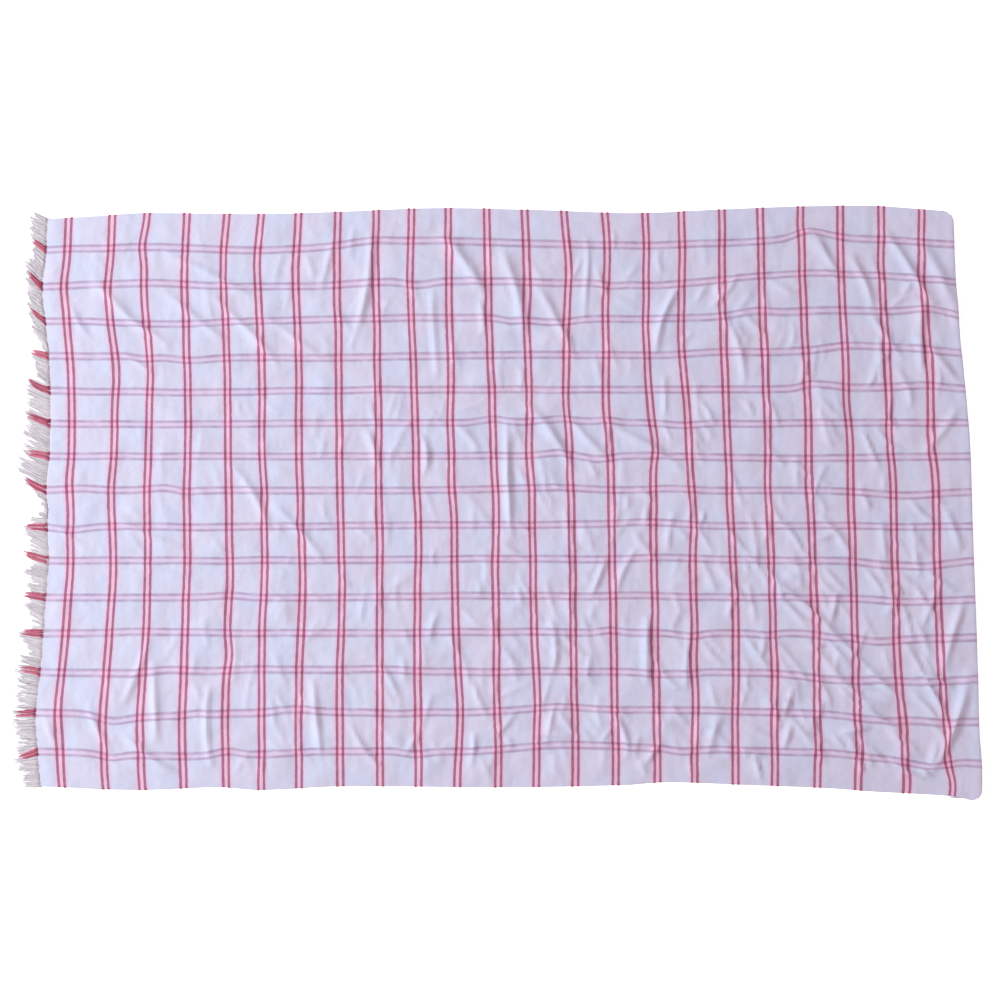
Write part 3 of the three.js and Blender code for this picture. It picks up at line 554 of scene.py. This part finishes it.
def strands(t, reach, lean, curl, height, middle, gather, stations=STATIONS):
    """Paths from the fringed edge: each starts at t inside the cloth, runs out by reach, leans and
    curls (radians), and closes in on its lock's middle by the two shares in gather: the first soon,
    the second towards the end. height is a function of the share of the way."""
    root_x, root_y, _ = place(np.zeros_like(t), t)
    share = np.linspace(0, 1, stations)[None, :]
    length = ((reach + ROOT_DEPTH) / np.cos(lean))[:, None]
    turn = lean[:, None] * smoothstep(share, 0.0, 0.25)
    turn = turn + curl[:, None] * (share - 0.5) * smoothstep(share, 0.1, 0.4)
    step = length / (stations - 1)
    x = root_x[:, None] + ROOT_DEPTH - np.cumsum(step * np.cos(turn), 1) + step
    y = root_y[:, None] + np.cumsum(step * np.sin(turn), 1)
    closing = gather[0] * smoothstep(share, 0.0, 0.25) + gather[1] * smoothstep(share, 0.4, 1.0)
    y += (middle - t)[:, None] * closing
    return np.stack([x, y, height(share)], -1)


def make_fringe(material):
    """Cream yarns in locks along the whole edge."""
    count = LOCKS * YARNS_IN_LOCK
    number = np.arange(count)
    lock = number // YARNS_IN_LOCK
    t = HALF * ((number + 0.5) / count * 2 - 1) + rng.uniform(-0.4, 0.4, count)
    middle = HALF * ((lock + 0.5) / LOCKS * 2 - 1)
    reach = curve(FRINGE, middle) * (1 + 0.1 * np.sin(2.4 * lock)) * rng.uniform(0.9, 1.1, count)
    lean = np.radians(curve(FRINGE, middle, 2) + 2.5 * np.cos(1.7 * lock) + rng.normal(0, 2.5, count))
    curl = np.radians(10 * np.sin(0.9 * lock) + rng.normal(0, 7, count))
    radius = rng.uniform(*YARN_RADII, count)
    rise = rng.uniform(0, 0.7, count)[:, None]
    sunk = (EDGE_THICKNESS - ROOT_SUNK * radius)[:, None]
    sway = rng.uniform(0, 2 * math.pi, count)[:, None]

    def height(share):
        """Height of each yarn's middle: sunk at the root, and arched a little after it."""
        level = radius[:, None] + rise * np.sin(math.pi * share) ** 2
        return level + (sunk - level) * (1 - smoothstep(share, 0, 0.2))

    paths = strands(t, reach, lean, curl, height, middle, (0.0, 0.25))
    share = np.linspace(0, 1, STATIONS)
    paths[..., 1] += 0.9 * np.sin(sway + 5.5 * share) * share
    tones = rng.uniform(-0.8, 0.8, count)
    return make_yarns("fringe_yarns", paths, radius, material, tones=tones)


def make_crimson_fringe(material):
    """Crimson yarns where the faint pairs end, two bunches of five to a pair, over the cream ones."""
    grid = np.meshgrid(range(len(WARP)), (-1, 1), range(-2, 3), indexing="ij")
    pair, bunch, yarn = (axis.ravel() for axis in grid)
    middle = np.array(WARP, float)[pair]
    t = middle + bunch * WARP_APART + yarn * CRIMSON_APART
    reach, lean, curl = np.array(CRIMSON_LOCKS, float)[pair].T
    reach *= rng.uniform(0.8, 1.02, len(t))
    lean = np.radians(lean)
    curl = np.radians(curl + rng.normal(0, 5, len(t)))
    radius = rng.uniform(*CRIMSON_RADII, len(t))
    sunk = (EDGE_THICKNESS - ROOT_SUNK * radius)[:, None]
    layer = (2.9 - 0.25 * yarn**2)[:, None]

    def height(share):
        """Height of each yarn's middle: sunk at the root, over the cream yarns, and low at the tip."""
        over = smoothstep(share, 0.02, 0.25) * (1 - 0.75 * smoothstep(share, 0.7, 1.0))
        level = radius[:, None] + layer * over
        return level + (sunk - level) * (1 - smoothstep(share, 0, 0.15))

    paths = strands(t, reach, lean, curl, height, middle, (0.36, 0.12), CRIMSON_STATIONS)
    tones = rng.uniform(-1, 1, len(t))
    return make_yarns("fringe_crimson", paths, radius, material, tones=tones, sides=CRIMSON_SIDES)


def make_selvedge_loops(material):
    """Small loops where each crimson line turns back at the long edges."""
    grid = np.meshgrid(range(len(WEFT)), (-1, 1), (-1, 1), indexing="ij")
    pair, line, edge = (axis.ravel() for axis in grid)
    s = np.array(WEFT, float)[pair] + line * WEFT_APART
    angle = np.linspace(0, math.pi, LOOP_STATIONS)[None, :]
    x, y, _ = place(s, edge * HALF)
    out = (0.5 + 0.6 * np.sin(3.1 * pair + line))[:, None] + LOOP_INSET
    paths = np.stack(
        [
            x[:, None] - LOOP_HALF_WIDTH * np.cos(angle),
            y[:, None] + edge[:, None] * (out * np.sin(angle) - LOOP_INSET),
            1.7 - 0.7 * np.sin(angle) + 0 * out,
        ],
        -1,
    )
    return make_yarns("selvedge_loops", paths, np.full(len(s), LOOP_RADIUS), material)


class Graph:
    """Adds nodes to a tree. A socket is given a plain value or another node's output."""

    def __init__(self, tree):
        self.tree = tree
        tree.nodes.clear()

    def feed(self, socket, value):
        """Links a node's output to the socket, or sets a plain value there."""
        if isinstance(value, bpy.types.NodeSocket):
            self.tree.links.new(value, socket)
        else:
            socket.default_value = value

    def add(self, kind, inputs=None, **settings):
        """A new node. inputs go by the socket's name or number, settings by the node's own names."""
        node = self.tree.nodes.new(kind)
        for name, value in settings.items():
            setattr(node, name, value)
        for key, value in (inputs or {}).items():
            self.feed(node.inputs[key], value)
        return node

    def math(self, operation, *values):
        """The result of one operation on the values."""
        return self.add("ShaderNodeMath", dict(enumerate(values)), operation=operation).outputs[0]

    def fade(self, value, near, far):
        """1 up to near, 0 from far on."""
        inputs = {"Value": value, "From Min": near, "From Max": far, "To Min": 1.0, "To Max": 0.0}
        return self.add("ShaderNodeMapRange", inputs, interpolation_type="SMOOTHSTEP").outputs[0]

    def tint(self, colour, amount, by):
        """colour, multiplied by another as far as amount says."""
        node = self.add("ShaderNodeMix", data_type="RGBA", blend_type="MULTIPLY")
        for socket, value in ((0, amount), (6, colour), (7, by)):
            self.feed(node.inputs[socket], value)
        return node.outputs[2]

    def noise(self, where, scale, detail=2.0, roughness=0.5):
        """Smooth noise, 0 to 1."""
        inputs = {"Vector": where, "Scale": scale, "Detail": detail, "Roughness": roughness}
        return self.add("ShaderNodeTexNoise", inputs).outputs["Fac"]

    def finish(self, shader):
        """Makes the shader the material's surface."""
        self.add("ShaderNodeOutputMaterial", {"Surface": shader})


def colour(red, green, blue):
    """A colour as the picture shows it on flat ground, 0 to 255, as the surface's own linear colour."""
    shown = np.array([red, green, blue]) / 255
    linear = np.where(shown <= 0.04045, shown / 12.92, ((shown + 0.055) / 1.055) ** 2.4)
    return (*(linear / LIGHT), 1.0)


def new_material(name):
    """A material and the graph of its empty tree."""
    made = bpy.data.materials.new(name)
    made.use_nodes = True
    return made, Graph(made.node_tree)


def stripe_pair(g, count, spacing, apart, wide, soft, wobble):
    """Distance in millimetres from the nearest pair's middle, and how much of its two lines is there."""
    signed = g.math("MULTIPLY", g.math("SUBTRACT", count, g.math("ROUND", count)), spacing)
    away = g.math("ABSOLUTE", g.math("ADD", signed, wobble))
    off = g.math("ABSOLUTE", g.math("SUBTRACT", away, apart))
    return away, g.fade(off, wide / 2 - soft, wide / 2 + soft)


def woven_wool():
    """Pale cloth with crimson pairs across, faint mauve pairs along, and a plain weave's relief."""
    made, g = new_material("woven_wool")
    stripes_map = g.add("ShaderNodeUVMap", uv_map="stripes").outputs[0]
    counts = g.add("ShaderNodeSeparateXYZ", {0: stripes_map}).outputs
    flat_map = g.add("ShaderNodeUVMap", uv_map="flat").outputs[0]
    flat = g.add("ShaderNodeSeparateXYZ", {0: flat_map}).outputs

    wobble = g.math("MULTIPLY", g.math("SUBTRACT", g.noise(flat_map, 9.0, 3.0), 0.5), 2.0)
    weft_away, weft = stripe_pair(g, counts[0], WEFT_SPACING, WEFT_APART, *WEFT_LINE, wobble)
    warp_away, warp = stripe_pair(g, counts[1], WARP_SPACING, WARP_APART, *WARP_LINE, wobble)
    between = g.fade(weft_away, WEFT_APART - 1.0, WEFT_APART + 1.0)
    halo = g.fade(weft_away, WEFT_APART + 2.0, WEFT_APART + HALO_WIDTH)
    warp_between = g.fade(warp_away, WARP_APART - 1.0, WARP_APART + 1.0)

    threads = [g.math("SINE", g.math("MULTIPLY", axis, 2 * math.pi / THREAD_PAIR)) for axis in flat[:2]]
    crossings = g.math("MULTIPLY", *threads)
    weft_over = g.math("MULTIPLY_ADD", crossings, OVER_UNDER, 1.0)
    warp_over = g.math("MULTIPLY_ADD", crossings, -OVER_UNDER, 1.0)

    patches = g.noise(flat_map, 1.1, 2.0)
    cool = g.add(
        "ShaderNodeMix",
        {0: g.fade(patches, 0.38, 0.62), 6: colour(*CLOTH_COOL), 7: colour(*CLOTH_WARM)},
        data_type="RGBA",
    ).outputs[2]
    mottle = g.fade(g.noise(flat_map, 14.0, 4.0, 0.62), 0.35, 0.7)
    shade = g.tint(cool, g.math("MULTIPLY", mottle, 0.5), MOTTLE_TINT)
    uneven = {"Value": g.noise(flat_map, 3.2, 3.0), "From Min": 0.32, "From Max": 0.68, "To Min": 0.5}
    warp_lines = g.math("MULTIPLY", warp, g.add("ShaderNodeMapRange", uneven).outputs[0])
    strong = g.math("SUBTRACT", 1.0, g.math("MULTIPLY", g.noise(flat_map, 7.0, 2.0), 0.34))
    weft_lines = g.math("MULTIPLY", weft, strong)
    for part, over, tint in (
        (warp_between, warp_over, WARP_BETWEEN_TINT),
        (halo, weft_over, HALO_TINT),
        (between, weft_over, WEFT_BETWEEN_TINT),
        (warp_lines, warp_over, WARP_TINT),
        (weft_lines, weft_over, WEFT_TINT),
    ):
        shade = g.tint(shade, g.math("MULTIPLY", part, over), tint)

    weave = g.math("MULTIPLY", crossings, WEAVE_RELIEF)
    fuzz = g.math("MULTIPLY", g.noise(flat_map, 60.0, 3.0, 0.7), FUZZ_RELIEF)
    raised = g.math("MULTIPLY", g.math("MAXIMUM", weft, g.math("MULTIPLY", warp, 0.6)), STRIPE_RELIEF)
    slanted = {"Vector": flat_map, "Rotation": (0.0, 0.0, -0.35), "Scale": (1.0, 0.32, 1.0)}
    streaks = g.noise(g.add("ShaderNodeMapping", slanted).outputs[0], 2.1, 2.0, 0.4)
    streaks = g.math("MULTIPLY", streaks, STREAK_RELIEF)
    crumples = g.math("MULTIPLY", g.noise(flat_map, 1.6, 2.0), CRUMPLE_RELIEF)
    crumple = g.math("ADD", streaks, crumples)
    relief = g.math("ADD", g.math("ADD", weave, fuzz), g.math("ADD", raised, crumple))
    normal = g.add("ShaderNodeBump", {"Strength": 1.0, "Distance": 0.001, "Height": relief}).outputs[0]
    surface = {"Base Color": shade, "Roughness": 0.92, "Specular IOR Level": 0.12, "Normal": normal}
    g.finish(g.add("ShaderNodeBsdfPrincipled", surface).outputs[0])
    return made


def yarn(name, pale, dark):
    """Twisted yarn whose tone goes from dark to pale with the yarn's own value."""
    made, g = new_material(name)
    tone = g.add("ShaderNodeAttribute", attribute_name="tone").outputs["Fac"]
    where = g.add("ShaderNodeTexCoord").outputs["Object"]
    grain = g.math("MULTIPLY", g.math("SUBTRACT", g.noise(where, 420.0, 3.0), 0.5), 1.4)
    share = g.add(
        "ShaderNodeMapRange",
        {"Value": g.math("ADD", tone, grain), "From Min": -1.2, "From Max": 1.0},
    ).outputs[0]
    shade = g.add("ShaderNodeMix", {0: share, 6: dark, 7: pale}, data_type="RGBA").outputs[2]
    fuzz = g.noise(where, 1500.0, 2.0)
    normal = g.add("ShaderNodeBump", {"Strength": 0.5, "Distance": 0.0003, "Height": fuzz}).outputs[0]
    surface = {"Base Color": shade, "Roughness": 0.9, "Specular IOR Level": 0.12, "Normal": normal}
    g.finish(g.add("ShaderNodeBsdfPrincipled", surface).outputs[0])
    return made


def make_floor():
    """A wide white floor just under the blanket, lit from beneath as well, so that it stays white."""
    made, g = new_material("floor_white")
    white = g.add("ShaderNodeBsdfDiffuse", {"Color": (0.97, 0.97, 0.97, 1)}).outputs[0]
    glow = g.add("ShaderNodeEmission", {"Strength": 0.45}).outputs[0]
    g.finish(g.add("ShaderNodeAddShader", {0: white, 1: glow}).outputs[0])
    mesh = bpy.data.meshes.new("floor")
    corners = [(x * FLOOR_HALF, y * FLOOR_HALF, -FLOOR_DROP) for x, y in ((-1, -1), (1, -1), (1, 1), (-1, 1))]
    mesh.from_pydata(corners, [], [(0, 1, 2, 3)])
    mesh.materials.append(made)
    floor = bpy.data.objects.new("floor", mesh)
    bpy.context.scene.collection.objects.link(floor)
    return floor


def area_light(name, place_at, width, lit, tone):
    """A square light that faces the blanket. lit is what it adds to a flat white surface there,
    before its tone."""
    lamp = bpy.data.lights.new(name, "AREA")
    lamp.size = width
    spot = np.array(place_at, float)
    distance = np.linalg.norm(spot)
    lamp.energy = lit * math.pi**2 * distance**3 / spot[2]
    lamp.color = tone
    thing = bpy.data.objects.new(name, lamp)
    thing.location = place_at
    thing.rotation_euler = Vector(-spot).to_track_quat("-Z", "Y").to_euler()
    bpy.context.scene.collection.objects.link(thing)


def light_and_camera():
    """Daylight from a window on the left, a warmer weak light from the right, and a camera straight above."""
    area_light("window_light", (-7.0, 0.9, 3.7), width=2.0, lit=0.66, tone=(0.79, 0.95, 0.93))
    area_light("room_light", (11.0, -1.5, 8.5), width=4.0, lit=0.13, tone=(1.0, 0.84, 0.74))
    area_light("ceiling_light", (0.2, 0.3, 7.0), width=4.0, lit=0.16, tone=(1.0, 0.86, 0.84))
    world = bpy.data.worlds.new("room")
    world.use_nodes = True
    g = Graph(world.node_tree)
    sky = g.add("ShaderNodeBackground", {"Color": (0.957, 0.896, 1.0, 1), "Strength": 0.328}).outputs[0]
    g.add("ShaderNodeOutputWorld", {"Surface": sky})
    scene = bpy.context.scene
    scene.world = world
    scene.view_settings.view_transform = "Standard"

    lens = bpy.data.cameras.new("camera")
    lens.lens = LENS
    lens.sensor_width = SENSOR
    camera = bpy.data.objects.new("camera", lens)
    camera.location = (*(ORIGIN[:2] + PICTURE_CENTRE), FRAME_WIDTH * LENS / SENSOR)
    scene.collection.objects.link(camera)
    scene.camera = camera


# The lowest x and y of the laid cloth go to the lowest x and y of the CAD's cloth.
edge_t = np.linspace(-HALF, HALF, 400)
edge_s = np.linspace(0, LENGTH, 600)
low_x = place(np.zeros_like(edge_t), edge_t)[0].min()
low_y = place(edge_s, np.full_like(edge_s, -HALF))[1].min()
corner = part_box("cloth")[0]
ORIGIN = np.array([corner[0] - low_x / 1000, corner[1] - low_y / 1000, 0.0])

wool = woven_wool()
cream = yarn("fringe_yarn", *(colour(*tone) for tone in CREAM_TONES))
crimson = yarn("crimson_yarn", *(colour(*tone) for tone in CRIMSON_TONES))

cloth = make_cloth(wool)
fringe = make_fringe(cream)
crimson_fringe = make_crimson_fringe(crimson)
loops = make_selvedge_loops(crimson)
floor = make_floor()

for piece, node, slot in (
    (cloth, "cloth", "woven_wool"),
    (fringe, "fringe", "fringe_yarn"),
    (crimson_fringe, "fringe", "crimson_yarn"),
    (loops, "cloth", "crimson_yarn"),
):
    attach(piece, "root")
    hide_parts(node)

light_and_camera()
